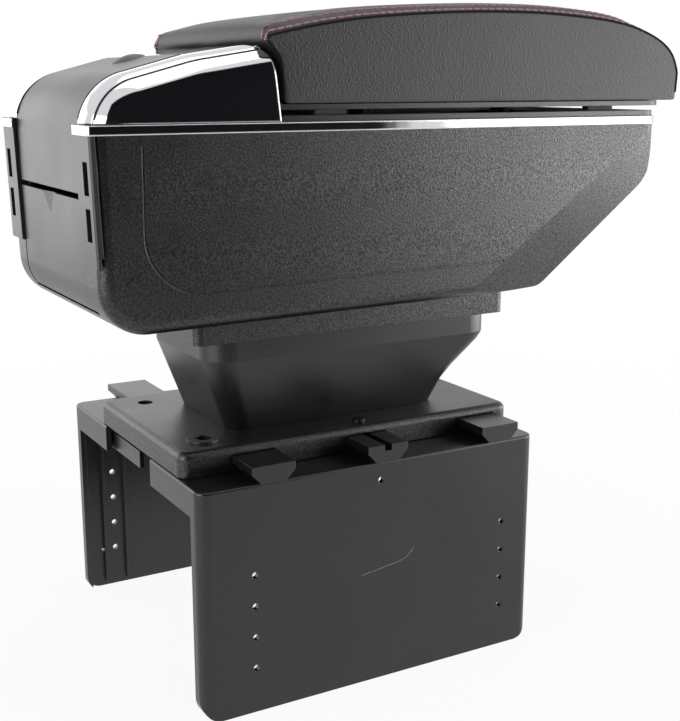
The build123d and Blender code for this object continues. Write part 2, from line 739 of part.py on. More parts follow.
def make_rear_flap():
    region = flap_region(0)
    panel = across(region, -flap_half_width, flap_half_width)
    panel -= across(flap_region(flap_thickness), -far, far)
    swing = Pos(flap_axis_x, flap_axis_z) * Circle(flap_cheek_reach)
    swing -= Pos(flap_axis_x, flap_axis_z - far / 2) * Rectangle(far, far)
    cheek = across(region & swing, flap_cheek_y, flap_cheek_y + flap_cheek_thickness)
    lug = bar_along_y(flap_axis_x, flap_axis_z, flap_lug_radius, flap_cheek_y, flap_half_width)
    panel += both_sides(cheek + lug)
    panel -= both_sides(bar_along_y(flap_axis_x, flap_axis_z, flap_pin_radius + pin_clearance, flap_cheek_y - 1, far))
    front_x = cross_bar_x - slide_clearance
    dome_radius = (pull_radius**2 + pull_height**2) / 2 / pull_height
    dome_x = front_x - pull_inset
    depth = dome_radius - pull_height
    slope = radians(hump_slope)
    dome = Pos(dome_x + depth * sin(slope), 0, hump_line_z(dome_x) + panel_proud - depth * cos(slope)) * Sphere(dome_radius)
    lift = block(dome_x - 2 * pull_radius, front_x, -far, far, hump_line_z(dome_x - 2 * pull_radius), far)
    return panel + ((dome & lift) - across(flap_region(flap_thickness / 2), -far, far))


def make_ash_bin():
    half = flap_cheek_y - seat_gap
    front_x = flap_axis_x + flap_lug_radius - 1.4
    floor_z = flap_axis_z + 1.2
    back_lean = 4.2
    outer = side_face((front_x, bin_front_top_z), (front_x, floor_z), (bin_back_x, floor_z + bin_wall),
                      (bin_back_x - back_lean, bin_back_top_z))
    mouth = 30.0
    inner = side_face((front_x + bin_wall, bin_front_top_z + mouth), (front_x + bin_wall, floor_z + bin_wall),
                      (bin_back_x - 1.2 * bin_wall, floor_z + 2 * bin_wall),
                      (bin_back_x - back_lean - 1.2 * bin_wall, bin_back_top_z),
                      (bin_back_x - back_lean - 1.2 * bin_wall, bin_back_top_z + mouth))
    return across(outer, -half, half) - across(inner, -half + bin_wall, half - bin_wall)


def make_flap_pins():
    reach = flap_pin_length / 2
    return [bar_along_y(flap_axis_x, flap_axis_z, flap_pin_radius, side * opening_half_width - reach,
                        side * opening_half_width + reach) for side in (-1, 1)]


def make_cup_drawer():
    shell = box_form(panel_inset, box_top_z) - box_form(panel_inset + drawer_face_thickness, box_top_z)
    drawer = shell & block(-far, pillar_back_x + 5, -drawer_half_width, drawer_half_width, drawer_bottom_z, drawer_top_z)
    face_x = rear_x(drawer_top_z) + panel_inset
    scoop = make_face(Polyline((face_x - 0.2, -scoop_half_width, drawer_top_z + 0.1),
                               (face_x - 0.2, scoop_half_width, drawer_top_z + 0.1),
                               (face_x + 0.1, 0, drawer_top_z - scoop_height), close=True))
    drawer -= loft([scoop, Vertex(face_x + scoop_depth, 0, drawer_top_z + 0.1)])
    half = drawer_tray_half_width
    rear = rear_x(drawer_top_z)
    tray = block(rear, drawer_tail_x, -half, half, drawer_floor_z, drawer_tray_top_z)
    tray -= block(rear - 1, drawer_tail_x - drawer_wall, -half + drawer_wall, half - drawer_wall,
                  drawer_floor_z + drawer_wall, drawer_tray_top_z - drawer_wall)
    tray -= Pos(cup_x, 0, drawer_tray_top_z) * Cylinder(cup_radius, 4 * drawer_wall)
    return drawer + (tray & box_form(panel_inset + 1, box_top_z))


def hump_front_line_x(z):
    """Place of the hump's leaning front face at height z."""
    return hump_foot_x - (hump_foot_x - hump_front_x) * (z - box_top_z) / (hump_front_z - box_top_z)


def make_lid_plate():
    rear_x = hump_front_line_x(lid_plate_z) + upstand_gap
    middle = (rear_x + lid_front_x) / 2
    plan = Pos(middle, 0) * Rectangle(lid_front_x - rear_x, 2 * lid_plate_half_width)
    plan = fillet(plan.vertices().group_by(Axis.X)[-1], lid_front_radius)
    plate = Pos(0, 0, lid_plate_z) * extrude(plan, lid_plate_thickness)
    top_x = hump_front_line_x(upstand_top_z) + upstand_gap
    upstand = side_face((rear_x, lid_plate_z), (rear_x + upstand_thickness, lid_plate_z),
                        (top_x + upstand_thickness, upstand_top_z), (top_x, upstand_top_z))
    plate += across(upstand, -upstand_half_width, upstand_half_width)
    arm = side_face((top_x, upstand_top_z - 0.5), (top_x + upstand_thickness, upstand_top_z - 0.5),
                    (hinge_x + 1.2 * knuckle_radius, hinge_z + 0.8 * knuckle_radius),
                    (hinge_x, hinge_z + 0.95 * knuckle_radius), (hinge_x, hinge_z))
    knuckle = across(arm, lid_knuckle_from, lid_knuckle_to)
    knuckle += bar_along_y(hinge_x, hinge_z, knuckle_radius, lid_knuckle_from, lid_knuckle_to)
    plate += both_sides(knuckle)
    plate -= bar_along_y(hinge_x, hinge_z, hinge_pin_radius + pin_clearance, -far, far)
    slot_half = shoulder_radius + slide_clearance
    for x in slide_screw_x:
        for side in (-1, 1):
            slot = SlotCenterToCenter(slide_travel, 2 * slot_half)
            plate -= Pos(x + slide_travel / 2, side * slide_screw_y, lid_plate_z - 1) * extrude(
                slot, lid_plate_thickness + 2)
    return plate


def make_lid_hinge_pin():
    return bar_along_y(hinge_x, hinge_z, hinge_pin_radius, -hinge_half_width, hinge_half_width)


def make_lid_bumpers():
    height = lid_plate_z - (box_top_z + rim_height) - seat_gap
    pads = []
    for x in bumper_x:
        for side in (-1, 1):
            pads.append(Pos(x, side * bumper_y, lid_plate_z - height / 2) * Box(bumper_length, bumper_width, height))
    return pads


def make_cushion_board():
    middle = (board_rear_x + board_front_x) / 2
    plan = Pos(middle, 0) * Rectangle(board_front_x - board_rear_x, 2 * board_half_width)
    plan = fillet(plan.vertices().group_by(Axis.X)[-1], board_front_radius)
    board = Pos(0, 0, board_z) * extrude(plan, board_thickness)
    for x in slide_screw_x:
        for side in (-1, 1):
            board -= Pos(x, side * slide_screw_y, board_z) * Cylinder(screw_radius + screw_clearance, 4 * board_thickness)
    return board


def make_slide_screws():
    screws = []
    head_top = lid_plate_z - slide_clearance
    for x in slide_screw_x:
        for side in (-1, 1):
            place = Pos(x, side * slide_screw_y, 0)
            head = Pos(0, 0, head_top - slide_head_height / 2) * Cylinder(slide_head_radius, slide_head_height)
            shoulder = Pos(0, 0, (head_top + board_z) / 2) * Cylinder(shoulder_radius, board_z - head_top)
            shank = Pos(0, 0, board_z + board_thickness / 2) * Cylinder(screw_radius, board_thickness)
            screws.append(place * (head + shoulder + shank))
    return screws


def pad_section(y, crown):
    """Outline of the cushion in a plane of constant Y, with its top raised by the crown."""
    rear_foot_x = hump_front_line_x(pad_bottom_z) + upstand_gap + upstand_thickness + 0.6
    rear_neck_z = hinge_z - pad_neck_drop
    rear_neck_x = hump_front_line_x(rear_neck_z) + upstand_gap + upstand_thickness + 1.0
    length = pad_front_x - pad_rear_x
    points = [(pad_rear_x + length * run, y, pad_bottom_z + pad_side_height * rise + crown * share)
              for run, rise, share in pad_top_shape]
    crest = Spline(*points)
    rest = Polyline(points[-1], (rear_foot_x, y, pad_bottom_z), (rear_neck_x, y, rear_neck_z),
                    (hinge_x + pad_knee[0], y, hinge_z + pad_knee[1]),
                    (hinge_x + pad_lip[0], y, hinge_z + pad_lip[1]), points[0])
    return make_face(Wire(crest.edges() + rest.edges()))


def make_cushion_pad():
    sections = [pad_section(-pad_half_width, 0), pad_section(0, pad_crown), pad_section(pad_half_width, 0)]
    pad = loft(sections)
    room = seat_gap
    middle = (board_rear_x + board_front_x) / 2
    pocket = Pos(middle, 0) * Rectangle(board_front_x - board_rear_x + 2 * room, 2 * board_half_width + 2 * room)
    pocket = fillet(pocket.vertices().group_by(Axis.X)[-1], board_front_radius)
    return pad - Pos(0, 0, pad_bottom_z - 1) * extrude(pocket, board_thickness + room + 1)


pieces = {
    "base_cover": make_base_cover(),
    "right_side_plate": make_right_side_plate(),
    "left_side_plate": make_left_side_plate(),
    "width_stop_screws": make_width_stop_screws(),
    "pedestal": make_pedestal(),
    "pedestal_lower_screws": make_pedestal_lower_screws(),
    "pedestal_upper_screws": make_pedestal_upper_screws(),
    "storage_box": make_storage_box(),
    "right_pillar": make_pillar(-1),
    "left_pillar": make_pillar(1),
    "rear_hump": make_rear_hump(),
    "right_cheek": make_cheek(-1),
    "left_cheek": make_cheek(1),
    "trim_band": make_trim_band(),
    "upper_rim": make_upper_rim(),
    "rear_flap": make_rear_flap(),
    "ash_bin": make_ash_bin(),
    "flap_pins": make_flap_pins(),
    "cup_drawer": make_cup_drawer(),
    "lid_plate": make_lid_plate(),
    "lid_hinge_pin": make_lid_hinge_pin(),
    "lid_bumpers": make_lid_bumpers(),
    "cushion_board": make_cushion_board(),
    "slide_screws": make_slide_screws(),
    "cushion_pad": make_cushion_pad(),
}

os.makedirs("parts", exist_ok=True)
for name, piece in pieces.items():
    if isinstance(piece, list):
        solids = [solid for one in piece for solid in one.solids()]
    else:
        solids = piece.solids()
    shape = solids[0] if len(solids) == 1 else Compound(children=list(solids))
    export_step(shape, f"parts/{name}.step")
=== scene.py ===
import json
import math

import bmesh
import bpy
from mathutils import Matrix, Vector
from mathutils.bvhtree import BVHTree


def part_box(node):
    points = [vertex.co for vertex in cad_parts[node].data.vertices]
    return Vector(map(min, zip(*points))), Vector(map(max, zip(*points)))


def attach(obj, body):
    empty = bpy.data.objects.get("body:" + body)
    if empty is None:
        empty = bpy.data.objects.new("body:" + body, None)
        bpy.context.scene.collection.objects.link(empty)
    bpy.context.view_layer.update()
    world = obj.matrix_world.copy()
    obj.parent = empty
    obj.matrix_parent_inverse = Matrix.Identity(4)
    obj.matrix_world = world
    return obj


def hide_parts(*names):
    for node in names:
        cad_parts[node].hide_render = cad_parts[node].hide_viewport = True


# Looks of a car centre armrest: moulded black plastic, chrome plating and a sewn leathercloth cushion.
# Metres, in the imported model's frame: +X is the front of the car, +Z is up, the floor is at Z = 0.
MM = 0.001
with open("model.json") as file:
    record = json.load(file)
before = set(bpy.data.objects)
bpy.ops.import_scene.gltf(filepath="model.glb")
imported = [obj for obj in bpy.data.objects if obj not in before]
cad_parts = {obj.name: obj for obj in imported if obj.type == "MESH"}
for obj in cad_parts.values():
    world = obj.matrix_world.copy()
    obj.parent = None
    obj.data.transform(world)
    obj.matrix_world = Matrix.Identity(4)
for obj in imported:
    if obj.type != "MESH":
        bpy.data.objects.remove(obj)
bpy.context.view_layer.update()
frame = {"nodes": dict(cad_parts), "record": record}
nodes = frame["nodes"]

# Part of a noise pattern's range over which a colour or a gloss goes from its low value to its high one
noise_low, noise_high = 0.35, 0.65


def linear(hex_colour):
    """sRGB hex value as linear RGBA."""
    channels = [int(hex_colour[i:i + 2], 16) / 255 for i in (1, 3, 5)]
    return [c / 12.92 if c <= 0.04045 else ((c + 0.055) / 1.055) ** 2.4 for c in channels] + [1.0]


def add(tree, kind, inputs=None, **settings):
    """Add one node with its settings; an input that is a socket is linked, any other is a value."""
    node = tree.nodes.new(kind)
    for name, value in settings.items():
        setattr(node, name, value)
    for name, value in (inputs or {}).items():
        if isinstance(value, bpy.types.NodeSocket):
            tree.links.new(value, node.inputs[name])
        else:
            node.inputs[name].default_value = value
    return node


def new_material(name):
    """Empty node material, and its tree to fill."""
    material = bpy.data.materials.new(name)
    material.use_nodes = True
    material.node_tree.nodes.clear()
    return material, material.node_tree


def finish_material(tree, shader):
    """Lead a shader to the material's output."""
    add(tree, "ShaderNodeOutputMaterial", {"Surface": shader.outputs[0]})


def moulded_abs(name, dark, light, roughness, grain_mm, grain_height_mm, edge_mm, glint):
    """Black moulded ABS.

    The mould's etched grain breaks the sheen into specks, and the rounded edges catch the light.
    """
    cloud_mm, facet_mm = 45.0, 0.8
    sheen_low, sheen_high, sheen_spread = 0.3, 0.7, 0.03
    middle_gloss = 0.5
    material, tree = new_material(name)
    place = add(tree, "ShaderNodeTexCoord").outputs["Object"]
    cloud = add(tree, "ShaderNodeTexNoise", {"Vector": place, "Scale": 1 / (cloud_mm * MM), "Detail": 3.0})
    tint = add(tree, "ShaderNodeValToRGB", {"Fac": cloud.outputs["Fac"]})
    for stop, colour, share in zip(tint.color_ramp.elements, (dark, light), (noise_low, noise_high)):
        stop.color = linear(colour)
        stop.position = share
    sheen = add(tree, "ShaderNodeMapRange", {"Value": cloud.outputs["Fac"],
                                             "From Min": sheen_low, "From Max": sheen_high,
                                             "To Min": roughness - sheen_spread,
                                             "To Max": roughness + sheen_spread})
    cells = add(tree, "ShaderNodeTexVoronoi", {"Vector": place, "Scale": 1 / (grain_mm * MM),
                                               "Smoothness": 0.6}, feature="SMOOTH_F1")
    specks = add(tree, "ShaderNodeTexNoise", {"Vector": place, "Scale": 2 / (grain_mm * MM), "Detail": 2.0})
    height = add(tree, "ShaderNodeMath", {0: cells.outputs["Distance"], 1: specks.outputs["Fac"]},
                 operation="ADD")
    edges = add(tree, "ShaderNodeBevel", {"Radius": edge_mm * MM}, samples=4)
    # The facets that glint are finer than a picture can show, so their specks are drawn this coarse
    facets = add(tree, "ShaderNodeTexNoise", {"Vector": place, "Scale": 1 / (facet_mm * MM), "Detail": 1.0})
    glints = add(tree, "ShaderNodeMapRange", {"Value": facets.outputs["Fac"],
                                              "From Min": noise_low, "From Max": noise_high,
                                              "To Min": middle_gloss - glint, "To Max": middle_gloss + glint})
    bump = add(tree, "ShaderNodeBump", {"Height": height.outputs[0], "Distance": grain_height_mm * MM,
                                        "Strength": 1.0, "Normal": edges.outputs["Normal"]})
    shader = add(tree, "ShaderNodeBsdfPrincipled", {"Base Color": tint.outputs["Color"], "IOR": 1.54,
                                                    "Roughness": sheen.outputs["Result"],
                                                    "Specular IOR Level": glints.outputs["Result"],
                                                    "Normal": bump.outputs["Normal"]})
    finish_material(tree, shader)
    return material


def chrome_plate():
    """Bright chrome plated on moulded ABS: a mirror with the slight waves of the moulding under it."""
    wave_mm, wave_height_mm, edge_mm = 25.0, 0.15, 1.1
    material, tree = new_material("chrome_plated_abs")
    place = add(tree, "ShaderNodeTexCoord").outputs["Object"]
    waves = add(tree, "ShaderNodeTexNoise", {"Vector": place, "Scale": 1 / (wave_mm * MM), "Detail": 1.0})
    edges = add(tree, "ShaderNodeBevel", {"Radius": edge_mm * MM}, samples=8)
    bump = add(tree, "ShaderNodeBump", {"Height": waves.outputs["Fac"], "Distance": wave_height_mm * MM,
                                        "Strength": 1.0, "Normal": edges.outputs["Normal"]})
    shader = add(tree, "ShaderNodeBsdfPrincipled", {"Base Color": linear("#d4d5d8"), "Metallic": 1.0,
                                                    "Roughness": 0.05, "Normal": bump.outputs["Normal"]})
    finish_material(tree, shader)
    return material


def leathercloth():
    """Black PVC leathercloth: an embossed grain of pebbles and fine wrinkles, soft sheen, no shine."""
    pebble_mm, wrinkle_mm, emboss_height_mm, cloud_mm = 0.9, 1.2, 0.11, 50.0
    upright_scale = (1.0, 1.0, 0.85)
    material, tree = new_material("black_leathercloth")
    place = add(tree, "ShaderNodeTexCoord").outputs["Object"]
    upright = add(tree, "ShaderNodeMapping", {"Vector": place, "Scale": upright_scale}).outputs["Vector"]
    pebbles = add(tree, "ShaderNodeTexVoronoi", {"Vector": upright, "Scale": 1 / (pebble_mm * MM),
                                                 "Smoothness": 0.5}, feature="SMOOTH_F1")
    wrinkles = add(tree, "ShaderNodeTexNoise", {"Vector": upright, "Scale": 1 / (wrinkle_mm * MM),
                                                "Detail": 4.0, "Distortion": 0.6})
    height = add(tree, "ShaderNodeMath", {0: pebbles.outputs["Distance"], 1: wrinkles.outputs["Fac"]},
                 operation="ADD")
    bump = add(tree, "ShaderNodeBump", {"Height": height.outputs[0], "Distance": emboss_height_mm * MM,
                                        "Strength": 1.0})
    cloud = add(tree, "ShaderNodeTexNoise", {"Vector": place, "Scale": 1 / (cloud_mm * MM), "Detail": 2.0})
    tint = add(tree, "ShaderNodeValToRGB", {"Fac": cloud.outputs["Fac"]})
    for stop, colour, share in zip(tint.color_ramp.elements, ("#181819", "#1f1f20"), (noise_low, noise_high)):
        stop.color = linear(colour)
        stop.position = share
    shader = add(tree, "ShaderNodeBsdfPrincipled", {"Base Color": tint.outputs["Color"], "Roughness": 0.48,
                                                    "IOR": 1.5, "Normal": bump.outputs["Normal"]})
    finish_material(tree, shader)
    return material


def sewing_thread():
    """Dark-red polyester thread: two plies twisted into slanting ribs, with a painted highlight on each crest.
    """
    ply_mm, ply_height_mm = 0.7, 0.08
    # A wave texture of scale 1 repeats about once in this length
    wave_length = 0.3
    material, tree = new_material("dark_red_thread")
    place = add(tree, "ShaderNodeTexCoord").outputs["Object"]
    plies = add(tree, "ShaderNodeTexWave", {"Vector": place, "Scale": wave_length / (ply_mm * MM),
                                            "Distortion": 1.0}, bands_direction="DIAGONAL")
    # Painted highlight: the raised crests of the plies are coloured pale pink, the hollows dark red
    tint = add(tree, "ShaderNodeMix", {"Factor": plies.outputs["Fac"],
                                       "A": linear("#824652"), "B": linear("#bf989f")}, data_type="RGBA")
    bump = add(tree, "ShaderNodeBump", {"Height": plies.outputs["Fac"], "Distance": ply_height_mm * MM,
                                        "Strength": 1.0})
    shader = add(tree, "ShaderNodeBsdfPrincipled", {"Base Color": tint.outputs["Result"], "Roughness": 0.6,
                                                    "Normal": bump.outputs["Normal"]})
    finish_material(tree, shader)
    return material


def turned_steel(name, colour, roughness):
    """Coated steel of screws and pins: turned metal whose fine tool marks blur its shine."""
    mark_mm, mark_height_mm = 0.4, 0.02
    material, tree = new_material(name)
    place = add(tree, "ShaderNodeTexCoord").outputs["Object"]
    marks = add(tree, "ShaderNodeTexNoise", {"Vector": place, "Scale": 1 / (mark_mm * MM), "Detail": 2.0})
    bump = add(tree, "ShaderNodeBump", {"Height": marks.outputs["Fac"], "Distance": mark_height_mm * MM,
                                        "Strength": 1.0})
    shader = add(tree, "ShaderNodeBsdfPrincipled", {"Base Color": linear(colour), "Metallic": 1.0,
                                                    "Roughness": roughness, "Normal": bump.outputs["Normal"]})
    finish_material(tree, shader)
    return material


def mottled(name, patch_mm, detail, dark, light, roughness, gloss=0.5):
    """Matt finish whose colour wavers between two tones in soft patches."""
    material, tree = new_material(name)
    place = add(tree, "ShaderNodeTexCoord").outputs["Object"]
    patches = add(tree, "ShaderNodeTexNoise", {"Vector": place, "Scale": 1 / (patch_mm * MM), "Detail": detail})
    tint = add(tree, "ShaderNodeMix", {"Factor": patches.outputs["Fac"], "A": linear(dark), "B": linear(light)},
               data_type="RGBA")
    shader = add(tree, "ShaderNodeBsdfPrincipled", {"Base Color": tint.outputs["Result"],
                                                    "Roughness": roughness, "Specular IOR Level": gloss})
    finish_material(tree, shader)
    return material


# One finish for each material slot of the record
finishes = {
    # Storage box and base cover: an etched grain that glitters
    "grained_abs": moulded_abs("grained_black_abs", "#131314", "#18181a", roughness=0.33, grain_mm=0.75,
                               grain_height_mm=0.06, edge_mm=0.5, glint=0.22),
    # Side plates, pedestal, rim and inner pieces: nearly smooth, with an even satin sheen
    "satin_abs": moulded_abs("satin_black_abs", "#0f0f10", "#131314", roughness=0.3, grain_mm=0.5,
                             grain_height_mm=0.012, edge_mm=0.5, glint=0.04),
    # Rear panels and pillars: a fine grain that looks greyer
    "rear_abs": moulded_abs("fine_grained_black_abs", "#1d1d1e", "#222223", roughness=0.37, grain_mm=0.6,
                            grain_height_mm=0.03, edge_mm=0.4, glint=0.08),
    "chrome_plate": chrome_plate(),
    "leathercloth": leathercloth(),
    "steel": turned_steel("zinc_plated_steel", "#a9abad", roughness=0.3),
    "dark_steel": turned_steel("blackened_steel", "#2a2a2c", roughness=0.5),
    # Lid bumpers, and the joint cords whose black is painted shade: dull black with a dusty bloom
    "bumper_rubber": mottled("bumper_rubber", 3.0, 3.0, "#121213", "#1e1e1e", roughness=0.75),
}
thread = sewing_thread()
# Scratched ABS: torn plastic that scatters the light and looks pale grey
scuffs = mottled("scuffed_abs", 0.8, 3.0, "#4a4a4b", "#b4b4b4", roughness=0.7)
# The fold along a sewn seam, painted nearly black as the shadow in the seam's groove, with hardly any shine
seam_painted_shadow = mottled("seam_fold_painted_shadow", 1.0, 2.0, "#060606", "#0d0d0d", roughness=0.85, gloss=0.2)


def dress_nodes():
    """Give every CAD node the finish of its slot in the record; the slide's screws get dark steel as painted
    shade.
    """
    for part in frame["record"]["subparts"]:
        node = nodes[part["node"]]
        # The slide's screws are blackened steel, darker than their plated slot, partly as painted shade under
        # the cushion
        finish = "dark_steel" if part["node"] == "slide_screws" else part["material_slot"]
        node.data.materials.clear()
        node.data.materials.append(finishes[finish])


def make_object(name, mesh_source, material):
    """Object at the origin from a bmesh, with smooth faces."""
    mesh = bpy.data.meshes.new(name)
    mesh_source.to_mesh(mesh)
    mesh_source.free()
    mesh.materials.append(material)
    for face in mesh.polygons:
        face.use_smooth = True
    piece = bpy.data.objects.new(name, mesh)
    bpy.context.scene.collection.objects.link(piece)
    return piece


# The cushion's side seam seen from the side, from the rear lip over the top to the nose, in millimetres:
# X, Z, and how far the top rises from the seam in its rounded shoulder and in its broad crown
pad_seam = (
    (-52.3, 311.6, 2.0, 0.3),
    (-51.1, 312.9, 5.0, 0.6),
    (-47.4, 313.9, 5.4, 0.9),
    (-24.5, 318.4, 5.0, 0.6),
    (1.4, 322.1, 4.4, 0.1),
    (49.6, 325.6, 3.8, 0.0),
    (91.3, 326.5, 3.8, 0.2),
    (123.1, 325.4, 4.0, 0.4),
    (148.2, 323.2, 3.6, 0.5),
    (163.9, 320.0, 2.2, 0.5),
    (179.4, 314.2, 0.8, 0.6),
    (188.0, 307.6, 0.5, 0.5),
    (192.3, 298.6, 0.3, 0.3),
)
# Its rear edge from the floor to the lip, X and Z in millimetres, which clears the hump as the lid turns
pad_rear_edge = ((-43.1, 284.1), (-45.1, 304.0), (-50.8, 310.0), (-52.5, 312.0))
# Share of the length over which the rear edge blends into the rest, and where the nose starts to bow forward
pad_rear_blend = 0.12
pad_bow_from = 0.7
# X of the nose's foot and how far the nose bows in its middle, in millimetres
pad_front_foot_x = 191.5
pad_nose_bow = 5.0
# A high power keeps the shoulder's rise level across the top and drops it only beside the seams
shoulder_power = 36
pad_low, pad_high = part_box("cushion_pad")
pad_half_width = (pad_high.y - pad_low.y) / 2
foam_swell = 0.8 * MM


def curve_through(rows, share):
    """Point on a smooth curve through the rows, at a share of its length by straight chords."""
    steps = [math.dist(rows[i], rows[i + 1]) for i in range(len(rows) - 1)]
    left = share * sum(steps)
    i = 0
    while i < len(steps) - 1 and left > steps[i]:
        left -= steps[i]
        i += 1
    t = left / steps[i]
    before, start, end, after = rows[max(i - 1, 0)], rows[i], rows[i + 1], rows[min(i + 2, len(rows) - 1)]
    step_before = steps[max(i - 1, 0)]
    step_after = steps[min(i + 1, len(steps) - 1)]
    point = []
    for k in range(len(start)):
        leave = (end[k] - before[k]) * steps[i] / (steps[i] + step_before)
        arrive = (after[k] - start[k]) * steps[i] / (steps[i] + step_after)
        point.append((2 * t**3 - 3 * t**2 + 1) * start[k] + (t**3 - 2 * t**2 + t) * leave
                     + (3 * t**2 - 2 * t**3) * end[k] + (t**3 - t**2) * arrive)
    return point


def rear_edge_x(z):
    """X of the cushion's rear edge at a height."""
    for (low_x, low_z), (high_x, high_z) in zip(pad_rear_edge, pad_rear_edge[1:]):
        if z <= high_z:
            return low_x + (high_x - low_x) * (z - low_z) / (high_z - low_z)
    return pad_rear_edge[-1][0]


def pad_point(along, side, up):
    """Point of the cushion before its foam swells.

    It takes the share along the top, the share across from -1 to 1, and the share up.
    """
    x, z, shoulder, crown = curve_through(pad_seam, along)
    z += shoulder * (1 - abs(side) ** shoulder_power) + crown * (1 - side * side)
    floor_x, floor_z = pad_rear_edge[0]
    foot_x = floor_x + along * (pad_front_foot_x - floor_x)
    z = floor_z + up * (z - floor_z)
    x = foot_x + up * (x - foot_x)
    if along < pad_rear_blend:
        straight_x = floor_x + up * (pad_seam[0][0] - floor_x)
        x += (rear_edge_x(z) - straight_x) * (1 - along / pad_rear_blend)
    if along > pad_bow_from:
        x += pad_nose_bow * (1 - side * side) * ((along - pad_bow_from) / (1 - pad_bow_from)) ** 2
    return Vector((x * MM, side * pad_half_width, z * MM))


def make_cushion():
    """Sewn cushion: a long panel over rear, top and nose between two side panels, puffed up by its foam."""
    columns, rows, layers = 80, 32, 12
    # The cube's edges are 2 long, and those longer than this along an axis are still to be cut across it
    uncut_length = 1.9
    near_end = 0.001
    board_recess = 0.8 * MM
    recess_side, recess_from, recess_to = 0.9, 0.04, 0.93
    shape = bmesh.new()
    bmesh.ops.create_cube(shape, size=2)
    for axis, count in enumerate((columns, rows, layers)):
        edges = [e for e in shape.edges if abs((e.verts[0].co - e.verts[1].co)[axis]) > uncut_length]
        bmesh.ops.subdivide_edges(shape, edges=edges, cuts=count - 1, use_grid_fill=True)
    held = []
    shape.verts.index_update()
    for vertex in shape.verts:
        along = (vertex.co.x + 1) / 2
        side = math.sin(vertex.co.y * math.pi / 2)
        up = (vertex.co.z + 1) / 2
        at_side = abs(side) > 1 - near_end
        at_rear = along < near_end
        at_front = along > 1 - near_end
        at_top = up > 1 - near_end
        at_floor = up < near_end
        vertex.co = pad_point(along, side, up)
        if at_floor and abs(side) < recess_side and recess_from < along < recess_to:
            vertex.co.z += board_recess
        if at_floor or at_rear or (at_side and (at_top or at_front)):
            held.append(vertex.index)
    bmesh.ops.recalc_face_normals(shape, faces=shape.faces)
    cushion = make_object("sewn_cushion", shape, finishes["leathercloth"])
    cushion.vertex_groups.new(name="held_seams").add(held, 1.0, "REPLACE")
    puff_up(cushion)
    rounding = cushion.modifiers.new("soft_rounding", "SUBSURF")
    rounding.levels = rounding.render_levels = 1
    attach(cushion, "cushion")
    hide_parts("cushion_pad")
    return cushion


def puff_up(cushion):
    """Foam pressure under the cover, held along seams and floor; each point may move by the swell at most."""
    last_frame, solver_quality, foam_pressure = 20, 6, 4.0
    scene = bpy.context.scene
    start = [vertex.co.copy() for vertex in cushion.data.vertices]
    cloth = cushion.modifiers.new("foam_pressure", "CLOTH")
    cloth.settings.quality = solver_quality
    cloth.settings.vertex_group_mass = "held_seams"
    cloth.settings.use_pressure = True
    cloth.settings.uniform_pressure_force = foam_pressure
    cloth.settings.effector_weights.gravity = 0.0
    cloth.point_cache.frame_start = 1
    cloth.point_cache.frame_end = last_frame
    for step in range(1, last_frame + 1):
        scene.frame_set(step)
    puffed = cushion.evaluated_get(bpy.context.evaluated_depsgraph_get()).to_mesh()
    ends = [vertex.co.copy() for vertex in puffed.vertices]
    cushion.modifiers.remove(cloth)
    for vertex, here, there in zip(cushion.data.vertices, start, ends):
        move = there - here
        if move.length > foam_swell:
            move = move.normalized() * foam_swell
        vertex.co = here + move
    scene.frame_set(1)


def seam_route(inset, rear_from):
    """Places along the cushion's side seam, or inboard of it: up the rear, over the top and down the nose."""
    rear_steps, top_steps, nose_steps = 8, 120, 6
    side = 1 - inset / pad_half_width
    route = [pad_point(0, side, rear_from + (1 - rear_from) * i / rear_steps) for i in range(rear_steps + 1)]
    route += [pad_point(i / top_steps, side, 1) for i in range(1, top_steps + 1)]
    route += [pad_point(1, side, 1 - i / nose_steps) for i in range(1, nose_steps)]
    return route


def spaced(route, pitch):
    """Points at an even pitch along a route of short runs, each with its direction."""
    places = []
    due = pitch / 2
    for here, there in zip(route, route[1:]):
        run = (there - here).length
        while due <= run:
            places.append((here.lerp(there, due / run), (there - here).normalized()))
            due += pitch
        due -= run
    return places


def headed(route):
    """Each place of a route but the last, with the direction to the next."""
    return [(here, (there - here).normalized()) for here, there in zip(route, route[1:])]


def add_tube(shape, places, radius, sides):
    """Tube through places that each come with a direction, closed by its end caps."""
    ring = None
    for spot, heading in places:
        turn = heading.to_track_quat("Z", "Y").to_matrix().to_4x4()
        made = bmesh.ops.create_circle(shape, segments=sides, radius=radius, cap_ends=ring is None,
                                       matrix=Matrix.Translation(spot) @ turn)["verts"]
        edges = list({edge for vertex in made for edge in vertex.link_edges})
        if ring:
            bmesh.ops.bridge_loops(shape, edges=ring + edges)
        ring = edges
    bmesh.ops.contextual_create(shape, geom=ring)
    bmesh.ops.recalc_face_normals(shape, faces=shape.faces)


